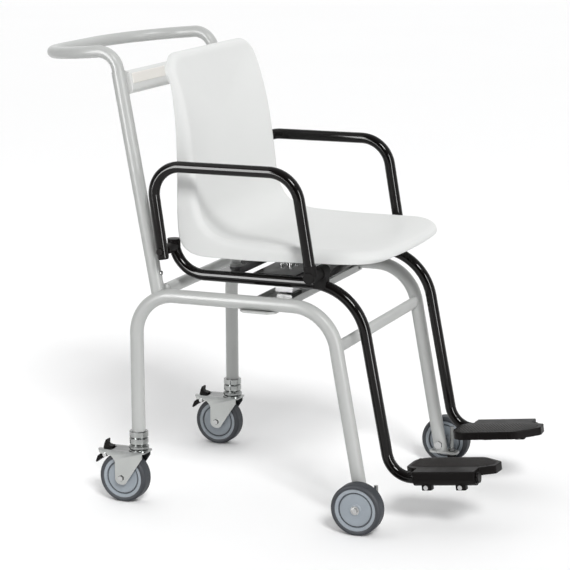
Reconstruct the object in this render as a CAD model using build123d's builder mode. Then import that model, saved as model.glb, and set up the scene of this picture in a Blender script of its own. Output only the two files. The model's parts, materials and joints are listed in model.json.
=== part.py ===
"""Mobile chair scale: a wheeled tube chair whose seat and footrests hang on one load cell.

Millimetres, +Z up. The origin lies on the floor under the middle of the chair's box. The chair
faces -Y, so the sitter's right hand is at -X. The pale base frame rolls on two fixed front wheels
and two braked casters. The black tubes, the seat, the armrests and the footplates are carried by
the load cell on the base beam. The read-out between the uprights faces the person who pushes.
"""

import os
from math import atan, cos, radians, sin

from build123d import *

os.makedirs("parts", exist_ok=True)

# ---- driving dimensions ----------------------------------------------------------------------
RIGHT, LEFT = -1, 1
SIDES = ((RIGHT, "right"), (LEFT, "left"))

fit_gap = 0.08  # radial room of a pin or sleeve that turns
touch_gap = 0.02  # room between pieces that are welded, pressed or screwed together

leg_y = 236.1  # rear legs; puts the origin under the middle of the whole outline
frame_x = 228.0  # half the distance between the side frames
frame_radius = 13.5
frame_wall = 1.5
rail_z = 422.7
leg_foot_z = 146.0  # lower end of the rear leg tube, on its caster socket
front_corner_y = leg_y - 404.6  # where rail and front leg axes would cross
front_lean = 0.18  # forward run of the front leg for each mm down
front_leg_end_z = 35.0
rear_bend = 80.0
front_bend = 90.0

upright_x = 221.0
upright_radius = 13.5
upright_wall = 1.42
upright_top_z = 853.0
upright_lean = 0.18
upright_root_z = 412.0

handle_radius = 12.0
handle_wall = 1.5
handle_z = 893.0  # where upright and handle arm axes would cross
handle_reach = 193.0
handle_drop = 0.09
handle_plug_z = 800.0

black_radius = 11.0
black_wall = 1.5
black_x = 190.0
black_rail_z = 461.0
black_corner_y = leg_y - 445.8
black_lean = 0.19
black_rear_y = leg_y - 65.0
black_rear_top_z = 526.0
step_corner_z = 94.4  # where the front run meets the footplate run
step_corner_y = black_corner_y - black_lean * (black_rail_z - step_corner_z)
step_tilt = 6.6  # degrees that the footplates rise towards the toes
step_run = 175.0  # length of the footplate run from that corner
clamp_places = (50.0, 118.0)  # along the sleeve
clamp_drop = 17.0  # from the sleeve's axis down to the clamp bolts
clamp_lug_width = 17.0
clamp_bolt_radius = 2.5
footrest_bends = [64.9, 112.0, 50.0]

arm_x = 246.5
arm_bar_z = 679.0
arm_pivot_y = leg_y - 67.0
arm_pivot_z = 514.0
arm_rear_foot_z = 501.0
arm_rear_lean = 0.144
arm_front_lean = 0.165
arm_front_top_y = leg_y - 343.0
arm_front_foot_z = 506.0
rest_y = leg_y - 373.0
rest_z = 484.0
rest_radius = 11.5

wheel_radius = 50.0
wheel_width = 32.0
hub_radius = 41.0
axle_radius = 5.0
front_axle_y = leg_y - 474.5
front_wheel_x = 262.5
caster_trail = 31.0
head_top_z = 119.5
stem_radius = 5.5
stem_top_z = 168.0
fork_plate_z = 103.0
fork_gap = 18.2  # from the middle plane to a cheek
cheek = 2.5
brake_pin_y = leg_y + 66.0
brake_pin_z = 94.5
brake_pin_radius = 2.5
bracket_thickness = 4.0
stud_y = front_corner_y - front_lean * (rail_z - front_leg_end_z) - 24.0
stud_x = frame_x - 1.0
stud_radius = 4.0
stud_foot_z = 24.0

beam_rear_y = leg_y - 222.0
beam_front_y = leg_y - 296.0
beam_floor_z = rail_z - frame_radius - 4.0
cell_y = leg_y - 262.0
cell_half_length = 110.0
cell_width = 36.0
cell_bottom_z = 421.5
cell_height = 30.0
cell_bolt_x = 80.0  # middle of each group of four bolts, either side of the cell's middle
cell_bolt_pitch_x = 30.0
cell_bolt_pitch_y = 18.0
cell_bolt_radius = 3.0
cell_hole_radius = 3.1
beam_floor = 4.0
carrier_top_z = 472.0
carrier_rear_y = leg_y - 230.0
carrier_front_y = leg_y - 318.0
strap_top_z = 468.0
rear_strap_y = leg_y - 165.0
front_strap_y = leg_y - 338.0
boss_x = 120.0

seat_half_width = 211.0
seat_wall = 4.5
pad_height = 5.0

housing_z = 829.0  # centre of the read-out housing, on the upright axis
housing_half_height = 22.0
housing_half_depth = 20.0
housing_half_width = 211.0
housing_wall = 2.5
window_x = 0.0
button_xs = (66.0, 92.0, 118.0)
button_radius = 7.0
button_gap = 0.3
button_travel = 1.5
button_names = ("tare_button", "hold_button", "power_button")
window_length = 90.0
window_height = 22.0
board_depth = 9.6  # from the middle of the housing to the face of the board
board_thickness = 1.6
panel_height = 6.0
board_posts = [(-57, -14.5), (-57, 14.5), (137, -14.5), (137, 14.5)]
cover_x = -125.0
cover_length = 104.0
cover_half_depth = 9.0
cell_pitch = 50.2  # length of a size AA cell with its button end


# ---- helpers -----------------------------------------------------------------------------------
def save(part, label):
    """Names a finished sub-part and writes its STEP file."""
    part.label = label
    export_step(part, f"parts/{label}.step")


def front_leg_y(z):
    return front_corner_y - front_lean * (rail_z - z)


def upright_y(z):
    return leg_y - 48.8 + upright_lean * (z - 400.0)


def bent_tube(points, bends, radius, wall=None):
    """A round tube, or a solid rod without a wall, with one bend radius for each inner point."""
    with BuildPart() as tube:
        with BuildLine() as run:
            FilletPolyline(*points, radius=bends)
        with BuildSketch(Plane(origin=run.line @ 0, z_dir=run.line % 0)):
            Circle(radius)
            if wall:
                Circle(radius - wall, mode=Mode.SUBTRACT)
        sweep()
    return tube.part


def rod(start, end, radius):
    """A solid cylinder between two points, used as a piece or as a cutter."""
    axis = Vector(*end) - Vector(*start)
    with BuildPart() as cylinder:
        with BuildSketch(Plane(origin=start, z_dir=axis)):
            Circle(radius)
        extrude(amount=axis.length)
    return cylinder.part


def side_plane(x):
    """A plane facing +X at x, whose sketch axes are the world's Y and Z."""
    return Plane(origin=(x, 0, 0), x_dir=(0, 1, 0), z_dir=(1, 0, 0))


def largest_solid(part):
    """What is left of a trimmed piece, without the chips on the far side of the cut."""
    return Part() + part.solids().sort_by(SortBy.VOLUME)[-1]


def frame_route(side):
    x = side * frame_x
    return [
        (x, leg_y, leg_foot_z),
        (x, leg_y, rail_z),
        (x, front_corner_y, rail_z),
        (x, front_leg_y(front_leg_end_z - 12.0), front_leg_end_z - 12.0),
    ]


def frame_cutters():
    """Both side frames as solid rods, to trim what butts against them."""
    return [
        bent_tube(frame_route(side), [rear_bend, front_bend], frame_radius + touch_gap)
        for side in (RIGHT, LEFT)
    ]


# ---- base frame --------------------------------------------------------------------------------
def side_frame(side, label):
    x = side * frame_x
    tube = bent_tube(frame_route(side), [rear_bend, front_bend], frame_radius, frame_wall)
    axle_hole = rod((x - 30, front_axle_y, wheel_radius), (x + 30, front_axle_y, wheel_radius),
                    axle_radius + touch_gap)
    with BuildPart() as frame:
        add(tube)
        add(axle_hole, mode=Mode.SUBTRACT)
        # The leg is cut level where it stands on its bracket.
        with BuildSketch(Plane.XY.offset(front_leg_end_z)):
            with Locations((x, front_leg_y(front_leg_end_z))):
                Rectangle(60, 60)
        extrude(amount=-40, mode=Mode.SUBTRACT)
    save(frame.part, label)


def upright(side, label):
    x = side * upright_x
    root = (x, upright_y(upright_root_z), upright_root_z)
    top = (x, upright_y(upright_top_z), upright_top_z)
    cutters = frame_cutters()
    with BuildPart() as post:
        with BuildSketch(Plane(origin=root, z_dir=Vector(*top) - Vector(*root))):
            Circle(upright_radius)
            Circle(upright_radius - upright_wall, mode=Mode.SUBTRACT)
        extrude(amount=(Vector(*top) - Vector(*root)).length)
        with BuildSketch(Plane(origin=root, z_dir=Vector(*top) - Vector(*root))):
            Circle(upright_radius)
        extrude(amount=3)
        add(cutters, mode=Mode.SUBTRACT)
    save(largest_solid(post.part), label)


def push_handle():
    rear_y = upright_y(handle_z) + handle_reach
    rear_z = handle_z - handle_drop * handle_reach
    points = [
        (-upright_x, upright_y(handle_plug_z), handle_plug_z),
        (-upright_x, upright_y(handle_z), handle_z),
        (-upright_x, rear_y, rear_z),
        (upright_x, rear_y, rear_z),
        (upright_x, upright_y(handle_z), handle_z),
        (upright_x, upright_y(handle_plug_z), handle_plug_z),
    ]
    bends = [40.0, 150.0, 150.0, 40.0]
    save(bent_tube(points, bends, handle_radius, handle_wall), "push_handle")


def rear_cross_tube():
    y, z, radius = leg_y - 58.0, 432.0, 12.0
    cutters = frame_cutters()
    for side in (RIGHT, LEFT):
        x = side * upright_x
        cutters.append(rod((x, upright_y(380), 380), (x, upright_y(500), 500), upright_radius + touch_gap))
    with BuildPart() as cross:
        with BuildSketch(side_plane(-214)):
            with Locations((y, z)):
                Circle(radius)
                Circle(radius - frame_wall, mode=Mode.SUBTRACT)
        extrude(amount=428)
        add(cutters, mode=Mode.SUBTRACT)
    save(largest_solid(cross.part), "rear_cross_tube")


def front_cross_bar():
    z = 348.0
    cutters = frame_cutters()
    with BuildPart() as bar:
        with BuildSketch(side_plane(-220)):
            with Locations((front_leg_y(z), z)):
                SlotOverall(24, 14, rotation=90)
                SlotOverall(21, 11, rotation=90, mode=Mode.SUBTRACT)
        extrude(amount=440)
        add(cutters, mode=Mode.SUBTRACT)
    save(largest_solid(bar.part), "front_cross_bar")


def base_beam():
    """A shallow channel that holds the load cell; its floor runs under both rails."""
    middle_y = (beam_rear_y + beam_front_y) / 2
    width = beam_rear_y - beam_front_y
    with BuildPart() as beam:
        with BuildSketch(Plane.XY.offset(beam_floor_z)):
            with BuildLine():
                Polyline((-244, beam_front_y + 12), (-232, beam_front_y), (232, beam_front_y),
                         (244, beam_front_y + 12), (244, beam_rear_y - 12), (232, beam_rear_y),
                         (-232, beam_rear_y), (-244, beam_rear_y - 12), close=True)
            make_face()
        extrude(amount=beam_floor - touch_gap)
        with BuildSketch(Plane.XY.offset(beam_floor_z + 3)):
            with Locations((0, middle_y)):
                Rectangle(424, width)
                Rectangle(424, width - 6, mode=Mode.SUBTRACT)
        extrude(amount=10)
        with BuildSketch(Plane.XY.offset(beam_floor_z)):
            with Locations((cell_bolt_x, cell_y)):
                with GridLocations(cell_bolt_pitch_x, cell_bolt_pitch_y, 2, 2):
                    Circle(cell_hole_radius)
        extrude(amount=5, mode=Mode.SUBTRACT)
        with BuildSketch(Plane.XY.offset(beam_floor_z)):
            with Locations((cell_bolt_x, cell_y)):
                with GridLocations(cell_bolt_pitch_x, cell_bolt_pitch_y, 2, 2):
                    Circle(5.8)
        extrude(amount=2.6, taper=45, mode=Mode.SUBTRACT)
    save(beam.part, "base_beam")


# ---- load cell and carrier -------------------------------------------------------------------
def load_cell():
    """A bending beam with the usual twin holes; bolted to the base at +X, to the carrier at -X."""
    middle_z = cell_bottom_z + cell_height / 2
    with BuildPart() as cell:
        with BuildSketch(Plane.XY.offset(cell_bottom_z)):
            with Locations((0, cell_y)):
                Rectangle(2 * cell_half_length, cell_width)
        extrude(amount=cell_height)
        chamfer(cell.edges().filter_by(Axis.Z), 1.5)
        with BuildSketch(Plane.XZ.offset(-cell_y - cell_width)):
            with Locations((-14, middle_z), (14, middle_z)):
                Circle(11)
            with Locations((0, middle_z)):
                Rectangle(28, 6)
        extrude(amount=2 * cell_width, mode=Mode.SUBTRACT)
        for x, top in ((-cell_bolt_x, cell_bottom_z + cell_height), (cell_bolt_x, cell_bottom_z)):
            with BuildSketch(Plane.XY.offset(top)):
                with Locations((x, cell_y)):
                    with GridLocations(cell_bolt_pitch_x, cell_bolt_pitch_y, 2, 2):
                        Circle(cell_hole_radius)
            extrude(amount=14, both=True, mode=Mode.SUBTRACT)
    save(cell.part, "load_cell")


def load_cell_spacers():
    """One block lifts the cell off the base beam, the other carries the carrier on the cell."""
    floor_top = beam_floor_z + beam_floor
    cell_top = cell_bottom_z + cell_height
    blocks = (
        (cell_bolt_x, floor_top, cell_bottom_z - floor_top),
        (-cell_bolt_x, cell_top, carrier_top_z - 3.0 - cell_top),
    )
    with BuildPart() as spacers:
        for x, bottom, height in blocks:
            with BuildSketch(Plane.XY.offset(bottom + touch_gap)):
                with Locations((x, cell_y)):
                    Rectangle(56, cell_width)
                    with GridLocations(cell_bolt_pitch_x, cell_bolt_pitch_y, 2, 2):
                        Circle(cell_hole_radius, mode=Mode.SUBTRACT)
            extrude(amount=height - 2 * touch_gap)
    save(spacers.part, "load_cell_spacers")


def load_cell_bolts():
    """Eight bolts: socket heads on the carrier, countersunk heads flush under the base beam."""
    with BuildPart() as bolts:
        with BuildSketch(Plane.XY.offset(carrier_top_z + touch_gap)):
            with Locations((-cell_bolt_x, cell_y)):
                with GridLocations(cell_bolt_pitch_x, cell_bolt_pitch_y, 2, 2):
                    Circle(5)
                    RegularPolygon(2.5, 6, mode=Mode.SUBTRACT)
        extrude(amount=5)
        with BuildSketch(Plane.XY.offset(carrier_top_z + 1.5)):
            with Locations((-cell_bolt_x, cell_y)):
                with GridLocations(cell_bolt_pitch_x, cell_bolt_pitch_y, 2, 2):
                    Circle(cell_bolt_radius)
        extrude(amount=-26)
        with BuildSketch(Plane.XY.offset(beam_floor_z + 0.2)):
            with Locations((cell_bolt_x, cell_y)):
                with GridLocations(cell_bolt_pitch_x, cell_bolt_pitch_y, 2, 2):
                    Circle(5.5)
        extrude(amount=2.5, taper=45)
        with BuildSketch(Plane.XY.offset(beam_floor_z + 1)):
            with Locations((cell_bolt_x, cell_y)):
                with GridLocations(cell_bolt_pitch_x, cell_bolt_pitch_y, 2, 2):
                    Circle(cell_bolt_radius)
        extrude(amount=21)
    save(bolts.part, "load_cell_bolts")


def overload_stop():
    """A plate with a set screw just under the free end of the load cell."""
    floor_top = beam_floor_z + beam_floor
    with BuildPart() as stop:
        with BuildSketch(Plane.XY.offset(floor_top + touch_gap)):
            with Locations((-82, cell_y)):
                Rectangle(52, cell_width - 4)
        extrude(amount=7)
        with BuildSketch(Plane.XY.offset(floor_top + 7)):
            with Locations((-82, cell_y)):
                RegularPolygon(6.5, 6)
        extrude(amount=3)
        with BuildSketch(Plane.XY.offset(floor_top + 9)):
            with Locations((-82, cell_y)):
                Circle(3)
        extrude(amount=cell_bottom_z - floor_top - 9 - 0.6)
    save(stop.part, "overload_stop")


def footrest_route(side):
    x = side * black_x
    tilt = radians(step_tilt)
    return [
        (x, black_rear_y, black_rear_top_z),
        (x, black_rear_y, black_rail_z),
        (x, black_corner_y, black_rail_z),
        (x, step_corner_y, step_corner_z),
        (x, step_corner_y - step_run * cos(tilt), step_corner_z + step_run * sin(tilt)),
    ]


def footrest_rod(side):
    """The footrest tube as a solid rod, to trim what is clamped or welded to it."""
    return bent_tube(footrest_route(side), footrest_bends, black_radius + touch_gap)


def carrier_beam():
    """A black tray between the footrest tubes that rests on the load cell."""
    middle_y = (carrier_rear_y + carrier_front_y) / 2
    depth = carrier_rear_y - carrier_front_y
    cutters = [footrest_rod(side) for side in (RIGHT, LEFT)]
    with BuildPart() as carrier:
        with BuildSketch(Plane.XY.offset(carrier_top_z - 16)):
            with Locations((0, middle_y)):
                Rectangle(368, depth)
        extrude(amount=16)
        with BuildSketch(Plane.XY.offset(carrier_top_z - 17)):
            with Locations((0, middle_y)):
                Rectangle(380, depth - 6)
        extrude(amount=14, mode=Mode.SUBTRACT)
        with BuildSketch(Plane.XY.offset(carrier_top_z)):
            with Locations((-cell_bolt_x, cell_y)):
                with GridLocations(cell_bolt_pitch_x, cell_bolt_pitch_y, 2, 2):
                    Circle(cell_hole_radius)
        extrude(amount=-5, mode=Mode.SUBTRACT)
        add(cutters, mode=Mode.SUBTRACT)
    save(carrier.part, "carrier_beam")


def seat_strap(middle_y, label):
    """A steel angle across the footrest tubes, with a hole for each seat screw."""
    cutters = [footrest_rod(side) for side in (RIGHT, LEFT)]
    with BuildPart() as strap:
        with BuildSketch(side_plane(-183)):
            with BuildLine():
                Polyline((middle_y - 13, strap_top_z - 14), (middle_y - 10.5, strap_top_z - 14),
                         (middle_y - 10.5, strap_top_z - 2.5), (middle_y + 13, strap_top_z - 2.5),
                         (middle_y + 13, strap_top_z), (middle_y - 13, strap_top_z), close=True)
            make_face()
        extrude(amount=366)
        with BuildSketch(Plane.XY.offset(strap_top_z)):
            with Locations((-boss_x, middle_y), (boss_x, middle_y)):
                Circle(3.1)
        extrude(amount=-5, mode=Mode.SUBTRACT)
        add(cutters, mode=Mode.SUBTRACT)
    save(strap.part, label)


def footrest_tube(side, label):
    """One black tube: rear post, seat rail, front run and the run that carries the footplate."""
    save(bent_tube(footrest_route(side), footrest_bends, black_radius, black_wall), label)


# ---- seat --------------------------------------------------------------------------------------
def seat_screw_places():
    return [(side * boss_x, y) for side in (RIGHT, LEFT) for y in (rear_strap_y, front_strap_y)]


def seat_shell():
    """A moulded shell: back and seat in one sheet, with a skirt folded back all round."""

    def side_view(face, wall, rear, under):
        """The region behind and below the sitting face, sunk by wall and grown at the skirt."""
        with BuildSketch(side_plane(0)) as region:
            with BuildLine():
                back_arc = ThreePointArc(
                    (leg_y - 62 + face, 900), (leg_y - 98 + face, 755), (leg_y - 113 + face, 630))
                hollow = TangentArc(
                    back_arc @ 1, (leg_y - 182, 533 - wall), tangent=back_arc % 1)
                seat_line = Line(hollow @ 1, (leg_y - 432, 531 - wall))
                nose = TangentArc(
                    seat_line @ 1, (leg_y - 496 + face, 498 - under), tangent=seat_line % 1)
                Polyline(nose @ 1, (leg_y - 118, 498 - under), (leg_y - 84 + rear, 532 - under),
                         (leg_y - 80 + rear, 720), (leg_y - 50 + rear, 900), back_arc @ 0)
            make_face()
        return region.sketch

    def front_view(inset):
        with BuildSketch(Plane.XZ.offset(-leg_y)) as outline:
            with BuildLine():
                half_seat = seat_half_width - inset
                half_top = 199 - inset
                corner = 46 - inset
                top = 889 - inset
                FilletPolyline((-half_seat, 470), (-half_seat, 560), (-half_top, top),
                               (half_top, top), (half_seat, 560), (half_seat, 470),
                               radius=[200, corner, corner, 200], close=False)
                Line((half_seat, 470), (-half_seat, 470))
            make_face()
        return outline.sketch

    def plan_view(inset):
        with BuildSketch(Plane.XY.offset(470)) as outline:
            with BuildLine():
                half = seat_half_width - inset
                lip_y = leg_y - 499 + inset
                ThreePointArc((-150, lip_y + 8), (0, lip_y), (150, lip_y + 8))
                FilletPolyline((150, lip_y + 8), (half, lip_y + 21), (half, leg_y - 20),
                               (-half, leg_y - 20), (-half, lip_y + 21), (-150, lip_y + 8),
                               radius=[34, 0, 0, 34])
            make_face()
        return outline.sketch

    def body(face, wall, rear, under, inset):
        profile = side_view(face, wall, rear, under)
        outline = front_view(inset)
        footprint = plan_view(inset)
        with BuildPart() as block:
            extrude(profile, amount=260, both=True)
            extrude(outline, amount=800, mode=Mode.INTERSECT)
            extrude(footprint, amount=500, mode=Mode.INTERSECT)
        return block.part

    outer = body(0, 0, 0, 0, 0)
    inner = body(seat_wall, seat_wall, 12, 12, seat_wall)
    boss_foot_z = strap_top_z + pad_height
    boss_sections = ((boss_foot_z + touch_gap, 9.0), (529.5, 17.0))
    with BuildPart() as seat:
        add(outer)
        add(inner, mode=Mode.SUBTRACT)
        for place in seat_screw_places():
            for height, radius in boss_sections:
                with BuildSketch(Plane.XY.offset(height)):
                    with Locations(place):
                        Circle(radius)
            loft()
        with BuildSketch(Plane.XY.offset(boss_foot_z)):
            with Locations(*seat_screw_places()):
                Circle(2.52)
        extrude(amount=30, mode=Mode.SUBTRACT)
    save(seat.part, "seat_shell")


def seat_pads():
    """Rubber washers between the seat's bosses and the straps."""
    with BuildPart() as pads:
        with BuildSketch(Plane.XY.offset(strap_top_z + touch_gap)):
            with Locations(*seat_screw_places()):
                Circle(12)
                Circle(3.1, mode=Mode.SUBTRACT)
        extrude(amount=pad_height - touch_gap)
    save(pads.part, "seat_pads")


def seat_screws():
    """Pan-head screws from below, through strap and pad into the bosses."""
    head_z = strap_top_z - 2.5 - touch_gap
    with BuildPart() as screws:
        with BuildSketch(Plane.XY.offset(head_z)):
            with Locations(*seat_screw_places()):
                Circle(5)
        extrude(amount=-3)
        with BuildSketch(Plane.XY.offset(head_z - 1)):
            with Locations(*seat_screw_places()):
                Circle(2.5)
        extrude(amount=26)
    save(screws.part, "seat_screws")


# ---- armrests ----------------------------------------------------------------------------------
def arm_rear_y(z):
    return arm_pivot_y + arm_rear_lean * (z - arm_pivot_z)


def arm_front_y(z):
    return arm_front_top_y - arm_front_lean * (arm_bar_z - z)


def armrest(side, label):
    x = side * arm_x
    points = [
        (x, arm_rear_y(arm_rear_foot_z), arm_rear_foot_z),
        (x, arm_rear_y(arm_bar_z), arm_bar_z),
        (x, arm_front_y(arm_bar_z), arm_bar_z),
        (x, arm_front_y(arm_front_foot_z), arm_front_foot_z),
    ]
    tube = bent_tube(points, [55.0, 62.0], black_radius, black_wall)
    pin_hole = rod((x - 20, arm_pivot_y, arm_pivot_z), (x + 20, arm_pivot_y, arm_pivot_z), 4 + fit_gap)
    with BuildPart() as arm:
        add(tube)
        add(pin_hole, mode=Mode.SUBTRACT)
    save(arm.part, label)


def armrest_caps(side, label):
    """A domed plug in the rear leg and a rubber saddle on the front leg, above the rest."""
    x = side * arm_x
    rear_foot = (x, arm_rear_y(arm_rear_foot_z), arm_rear_foot_z)
    rear_axis = Vector(0, arm_rear_lean, 1)
    front_foot = (x, arm_front_y(arm_front_foot_z), arm_front_foot_z)
    front_axis = Vector(0, arm_front_lean, 1)
    rest_rod = rod((x - 20, rest_y, rest_z), (x + 20, rest_y, rest_z), rest_radius + 0.4)
    with BuildPart() as caps:
        with BuildSketch(Plane(origin=rear_foot, z_dir=rear_axis).offset(-1)):
            Circle(black_radius - black_wall - touch_gap)
        extrude(amount=8)
        with BuildSketch(Plane(origin=rear_foot, z_dir=rear_axis).offset(-touch_gap)):
            Circle(black_radius)
        extrude(amount=-3, taper=25)
        with BuildSketch(Plane(origin=front_foot, z_dir=front_axis).offset(-1)):
            Circle(black_radius - black_wall - touch_gap)
        extrude(amount=15)
        with BuildSketch(Plane(origin=front_foot, z_dir=front_axis).offset(-touch_gap)):
            Circle(black_radius + 1.0)
        extrude(amount=-20)
        with BuildSketch(Plane.XY.offset(rest_z + 3)):
            with Locations((x, rest_y)):
                Rectangle(60, 60)
        extrude(amount=-30, mode=Mode.SUBTRACT)
        add(rest_rod, mode=Mode.SUBTRACT)
    save(caps.part, label)


def armrest_pivots():
    """A cap on each rear post, with a boss that reaches out to the armrest's leg."""
    leg_face = arm_x - black_radius - 0.4
    cap_foot_z = arm_pivot_z - 4.0
    with BuildPart() as pivots:
        for side in (RIGHT, LEFT):
            x = side * black_x
            with BuildSketch(Plane.XY.offset(cap_foot_z)):
                with Locations((x, black_rear_y)):
                    Circle(12.8)
            extrude(amount=black_rear_top_z + 3 - cap_foot_z)
            with BuildSketch(Plane(origin=(x, arm_pivot_y, arm_pivot_z), z_dir=(side, 0, 0))):
                Circle(10)
            extrude(amount=leg_face - black_x)
            add(footrest_rod(side), mode=Mode.SUBTRACT)
            with BuildSketch(Plane(origin=(x, arm_pivot_y, arm_pivot_z), z_dir=(side, 0, 0))):
                Circle(4 + touch_gap)
            extrude(amount=60, mode=Mode.SUBTRACT)
    save(pivots.part, "armrest_pivots")


def armrest_pins():
    """Shoulder pins through the armrest's rear leg into the pivot boss."""
    outer_face = arm_x + black_radius + 0.4
    with BuildPart() as pins:
        for side in (RIGHT, LEFT):
            outward = Plane(origin=(0, arm_pivot_y, arm_pivot_z), z_dir=(side, 0, 0))
            with BuildSketch(outward.offset(black_x + 14)):
                Circle(4)
            extrude(amount=outer_face - black_x - 13)
            with BuildSketch(outward.offset(outer_face)):
                Circle(7.5)
            extrude(amount=3, taper=20)
    save(pins.part, "armrest_pins")


def armrest_rests():
    """A round stub clamped on each footrest tube, on which the armrest's front leg lies."""
    cutters = [footrest_rod(side) for side in (RIGHT, LEFT)]
    with BuildPart() as rests:
        for side in (RIGHT, LEFT):
            outward = Plane(origin=(0, rest_y, rest_z), x_dir=(0, 1, 0), z_dir=(side, 0, 0))
            with BuildSketch(outward.offset(black_x - 13)):
                Circle(rest_radius)
            extrude(amount=arm_x - black_x + 24)
            with BuildSketch(outward.offset(black_x - 13)):
                Circle(rest_radius + 2.5)
            extrude(amount=30)
            with BuildSketch(Plane.XY.offset(black_rail_z - 7)):
                with Locations((side * black_x, rest_y)):
                    RectangleRounded(27, 26, 5)
            extrude(amount=rest_z - black_rail_z + 7)
        fillet(rests.faces().sort_by(Axis.X)[0].edges() + rests.faces().sort_by(Axis.X)[-1].edges(), 3)
        add(cutters, mode=Mode.SUBTRACT)
    save(rests.part, "armrest_rests")


# ---- footplates --------------------------------------------------------------------------------
def step_plane():
    """The middle plane of the footplate run: sketch Y towards the toes, Z up off the tread."""
    tilt = radians(step_tilt)
    start = (0, step_corner_y - 22.0 * cos(tilt), step_corner_z + 22.0 * sin(tilt))
    return Plane(origin=start, x_dir=(-1, 0, 0), z_dir=(0, sin(tilt), cos(tilt)))


def step_point(side, inward, along, up=0.0):
    """A point given inwards from the sleeve's axis, along it towards the toes, and above it."""
    return step_plane().from_local_coords(Vector(side * (inward - black_x), along, up))


def clamp_point(side, inward, along):
    """A point level with the clamp bolts below the sleeve."""
    return step_point(side, inward, along, -clamp_drop)


def footplate(side, label):
    """A tread on a sleeve that turns on the footplate run and is clamped there by two lugs."""
    inner_edge, outer_edge, toe = 95.0, -16.0, 182.0
    sleeve_start, sleeve_end, sleeve_radius = 26.0, 150.0, 15.0
    tread_top, rim, skin = 15.0, 15.5, 3.0
    corners = [
        (outer_edge, sleeve_start), (13, sleeve_start), (15, 15), (27, 0), (inner_edge, 0),
        (inner_edge, toe - 44), (inner_edge - 34, toe), (29, toe - 3), (15, sleeve_end),
        (outer_edge, sleeve_end),
    ]
    points = [(side * (inward - black_x), along) for inward, along in corners]
    with BuildPart() as plate:
        with BuildSketch(step_plane().offset(tread_top - rim)) as outline:
            with BuildLine():
                FilletPolyline(*points, radius=[3, 3, 6, 16, 30, 30, 10, 3, 3, 3], close=True)
            make_face()
        extrude(amount=rim)
        upwards = Axis(step_plane().origin, step_plane().z_dir)
        fillet(plate.faces().sort_by(upwards)[-1].edges(), 1.8)
        with BuildSketch(step_plane().offset(tread_top - rim)):
            add(outline.sketch_local)
            offset(amount=-skin, kind=Kind.INTERSECTION, mode=Mode.REPLACE)
        extrude(amount=rim - skin, mode=Mode.SUBTRACT)
        with BuildSketch(step_plane().offset(tread_top - rim + 1)):
            with Locations((side * (inner_edge / 2 - black_x + 8), 60),
                           (side * (inner_edge / 2 - black_x + 8), 120)):
                Rectangle(inner_edge - 14, skin)
        extrude(amount=rim - 2)
        add(rod(step_point(side, 0, sleeve_start), step_point(side, 0, sleeve_end), sleeve_radius))
        for along in clamp_places:
            with BuildSketch(step_plane().offset(-23)):
                with Locations((-side * black_x, along)):
                    RectangleRounded(clamp_lug_width, 20, 3)
            extrude(amount=18)
        add(rod(step_point(side, 0, -40), step_point(side, 0, toe), black_radius + fit_gap),
            mode=Mode.SUBTRACT)
        for along in clamp_places:
            add(rod(clamp_point(side, -20, along), clamp_point(side, 20, along), clamp_bolt_radius + touch_gap),
                mode=Mode.SUBTRACT)
    save(plate.part, label)


def footplate_bolts(side, label):
    """Two clamp bolts under each sleeve, heads outwards, nuts inwards."""
    lug_face = clamp_lug_width / 2 + touch_gap
    with BuildPart() as bolts:
        for along in clamp_places:
            add(rod(clamp_point(side, -11.5, along), clamp_point(side, 13, along), clamp_bolt_radius))
            add(rod(clamp_point(side, -12, along), clamp_point(side, -lug_face, along), 4.5))
            add(rod(clamp_point(side, lug_face, along), clamp_point(side, 12, along), 4.2))
    save(bolts.part, label)


def footrest_plugs():
    """A domed plug closes the toe end of each footrest tube."""
    end = step_run - 22.0
    bore_radius = black_radius - black_wall - touch_gap
    with BuildPart() as plugs:
        for side in (RIGHT, LEFT):
            add(rod(step_point(side, 0, end - 8), step_point(side, 0, end + 2), bore_radius))
            add(rod(step_point(side, 0, end + touch_gap), step_point(side, 0, end + 2.5),
                    black_radius - 0.5))
    save(plugs.part, "footrest_plugs")


# ---- wheels ------------------------------------------------------------------------------------
def wheel_hub(x, y, bore_radius, label):
    """A moulded disc with a raised rim ring, a groove and a hub boss on both faces."""
    half = wheel_width / 2 - 2.0
    with BuildPart() as hub:
        with BuildSketch(Plane(origin=(x, y, wheel_radius), x_dir=(1, 0, 0), z_dir=(0, 1, 0))):
            with BuildLine():
                Polyline((-half, bore_radius), (-half, 11), (-half + 1.2, 12.5), (-half + 1.2, 31),
                         (-half + 3.2, 32), (-half + 3.2, 33.5), (-half, 35), (-half, hub_radius),
                         (half, hub_radius), (half, 35), (half - 3.2, 33.5), (half - 3.2, 32),
                         (half - 1.2, 31), (half - 1.2, 12.5), (half, 11), (half, bore_radius),
                         close=True)
            make_face()
        revolve(axis=Axis((x, y, wheel_radius), (1, 0, 0)))
    save(hub.part, label)


def tyre(x, y, label):
    """A soft ring on the hub, with bevelled shoulders."""
    half = wheel_width / 2
    seat_radius = hub_radius + touch_gap
    shoulder = wheel_radius - 4
    with BuildPart() as ring:
        with BuildSketch(Plane(origin=(x, y, wheel_radius), x_dir=(1, 0, 0), z_dir=(0, 1, 0))):
            with BuildLine():
                FilletPolyline((-half + 1, seat_radius), (-half, shoulder), (-half + 4, wheel_radius),
                               (half - 4, wheel_radius), (half, shoulder), (half - 1, seat_radius),
                               radius=[3, 5, 5, 3])
                Line((half - 1, seat_radius), (-half + 1, seat_radius))
            make_face()
        revolve(axis=Axis((x, y, wheel_radius), (1, 0, 0)))
    save(ring.part, label)


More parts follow.
